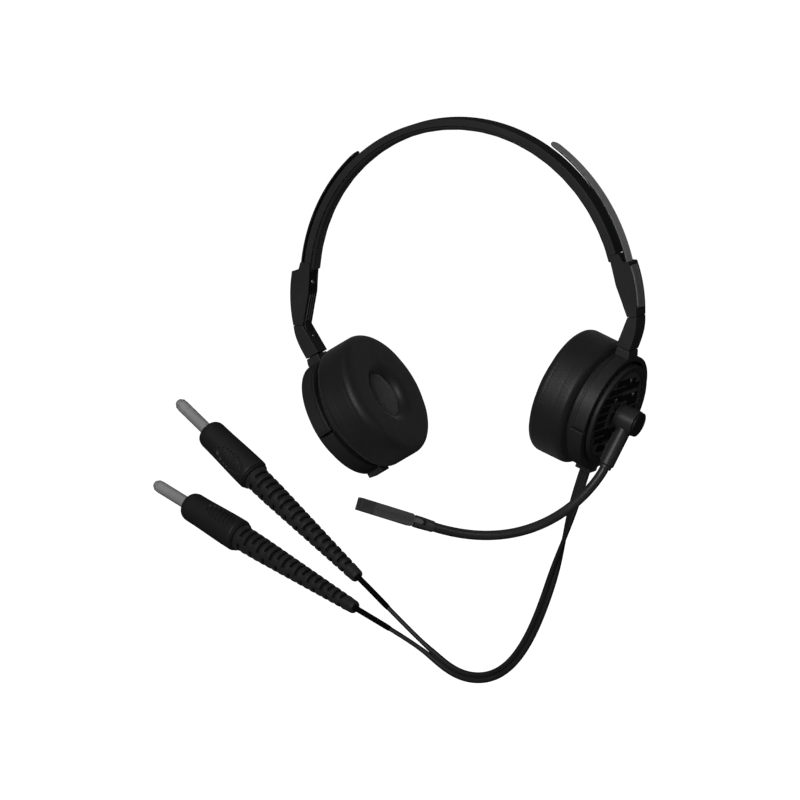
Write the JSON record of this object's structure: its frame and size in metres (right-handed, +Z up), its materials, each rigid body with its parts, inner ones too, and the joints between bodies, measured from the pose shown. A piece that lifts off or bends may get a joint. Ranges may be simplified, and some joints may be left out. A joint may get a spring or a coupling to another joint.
{
  "type": "headset microphone",
  "caption": "Two-ear communication headset: sprung headband with sliding arms, swivelling padded cups, a gooseneck boom microphone and a twin lead with quarter-inch plugs.",
  "frame": {"origin": "middle of the headband liner's underside, where the headset rests on the crown of the head", "axes": "+X to the wearer's left (the boom side, called right because names are as seen from in front of the wearer), -Y forward, +Z up"},
  "size_m": [0.3152, 0.1736, 0.2895],
  "materials": {
    "band_moulding": "fine moulded grain, satin black",
    "moulding": "fine moulded grain, satin black",
    "dark_moulding": "matt black moulding",
    "liner_pad": "soft black leatherette over foam",
    "ear_pad": "soft black leatherette over foam, fine grain",
    "acoustic_foam": "open black foam behind thin cloth",
    "spring_steel": "plain spring steel",
    "rail_steel": "brushed along its length, dark satin",
    "fastener_steel": "plain turned steel",
    "driver_steel": "pressed steel can",
    "inlay_plate": "satin dark grey plate",
    "outlet_rubber": "soft black rubber",
    "gooseneck_skin": "smooth black sleeve",
    "capsule_metal": "plain capsule can",
    "lead_skin": "smooth black cable jacket",
    "plug_boot_rubber": "matt black ribbed strain relief",
    "plug_moulding": "matt black moulded grip",
    "plug_nickel": "satin nickel plate"
  },
  "bodies": {
    "headband": {"headband": "band_moulding", "headband_liner": "liner_pad", "headband_spring": "spring_steel", "left_slider_block": "moulding", "left_block_inlay": "inlay_plate", "left_block_screw": "fastener_steel", "right_slider_block": "moulding", "right_block_inlay": "inlay_plate", "right_block_screw": "fastener_steel"},
    "left_arm": {"left_rail": "rail_steel", "left_arm": "moulding", "left_arm_screw": "fastener_steel"},
    "left_yoke": {"left_yoke": "moulding", "left_swivel_pin": "fastener_steel", "left_tilt_pin_front": "fastener_steel", "left_tilt_pin_rear": "fastener_steel"},
    "left_cup": {"left_cup_housing": "moulding", "left_ear_cushion": "ear_pad", "left_foam_insert": "acoustic_foam", "left_baffle": "dark_moulding", "left_driver": "driver_steel", "left_bezel": "moulding", "left_grille": "dark_moulding", "left_outlet_blank": "outlet_rubber"},
    "right_arm": {"right_rail": "rail_steel", "right_arm": "moulding", "right_arm_screw": "fastener_steel"},
    "right_yoke": {"right_yoke": "moulding", "right_swivel_pin": "fastener_steel", "right_tilt_pin_front": "fastener_steel", "right_tilt_pin_rear": "fastener_steel"},
    "right_cup": {"right_cup_housing": "moulding", "right_ear_cushion": "ear_pad", "right_foam_insert": "acoustic_foam", "right_baffle": "dark_moulding", "right_driver": "driver_steel", "right_bezel": "moulding", "right_grille": "dark_moulding", "right_lead_grommet": "outlet_rubber", "lead_strand_upper": "lead_skin", "lead_strand_lower": "lead_skin", "upper_plug_boot": "plug_boot_rubber", "upper_plug_barrel": "plug_moulding", "upper_plug_shaft": "plug_nickel", "upper_plug_tip": "plug_nickel", "lower_plug_boot": "plug_boot_rubber", "lower_plug_barrel": "plug_moulding", "lower_plug_shaft": "plug_nickel", "lower_plug_tip": "plug_nickel"},
    "boom": {"boom_knob": "moulding", "boom_knob_cap": "dark_moulding", "boom_pivot_pin": "fastener_steel", "boom_sleeve": "moulding", "gooseneck": "gooseneck_skin", "mic_collar": "moulding", "mic_pin": "fastener_steel"},
    "mic_head": {"mic_body": "moulding", "mic_tip": "dark_moulding", "mic_capsule": "capsule_metal"}
  },
  "joints": [
    {"name": "right_slide", "type": "hinge", "parent": "headband", "child": "right_arm", "pos_m": [0, 0, -0.0846], "axis": [0, 1, 0], "range_deg": [0, 15]},
    {"name": "right_swivel", "type": "hinge", "parent": "right_arm", "child": "right_yoke", "pos_m": [0.07311, 0, -0.14427], "axis": [0.4352, 0, 0.9003], "range_deg": [-15, 15]},
    {"name": "right_tilt", "type": "hinge", "parent": "right_yoke", "child": "right_cup", "pos_m": [0.07387, 0, -0.14464], "axis": [0, 1, 0], "range_deg": [-6, 6]},
    {"name": "left_slide", "type": "hinge", "parent": "headband", "child": "left_arm", "pos_m": [0, 0, -0.0846], "axis": [0, -1, 0], "range_deg": [0, 15]},
    {"name": "left_swivel", "type": "hinge", "parent": "left_arm", "child": "left_yoke", "pos_m": [-0.07311, 0, -0.14427], "axis": [-0.4352, 0, 0.9003], "range_deg": [-15, 15]},
    {"name": "left_tilt", "type": "hinge", "parent": "left_yoke", "child": "left_cup", "pos_m": [-0.07387, 0, -0.14464], "axis": [0, 1, 0], "range_deg": [-6, 6]},
    {"name": "boom_turn", "type": "hinge", "parent": "right_cup", "child": "boom", "pos_m": [0.08526, 0, -0.15015], "axis": [-0.9003, 0, 0.4352], "range_deg": [-5, 110]},
    {"name": "mic_swivel", "type": "hinge", "parent": "boom", "child": "mic_head", "pos_m": [0.00667, -0.08801, -0.18687], "axis": [0.0694, 0.4332, 0.8986], "range_deg": [-20, 20]}
  ]
}
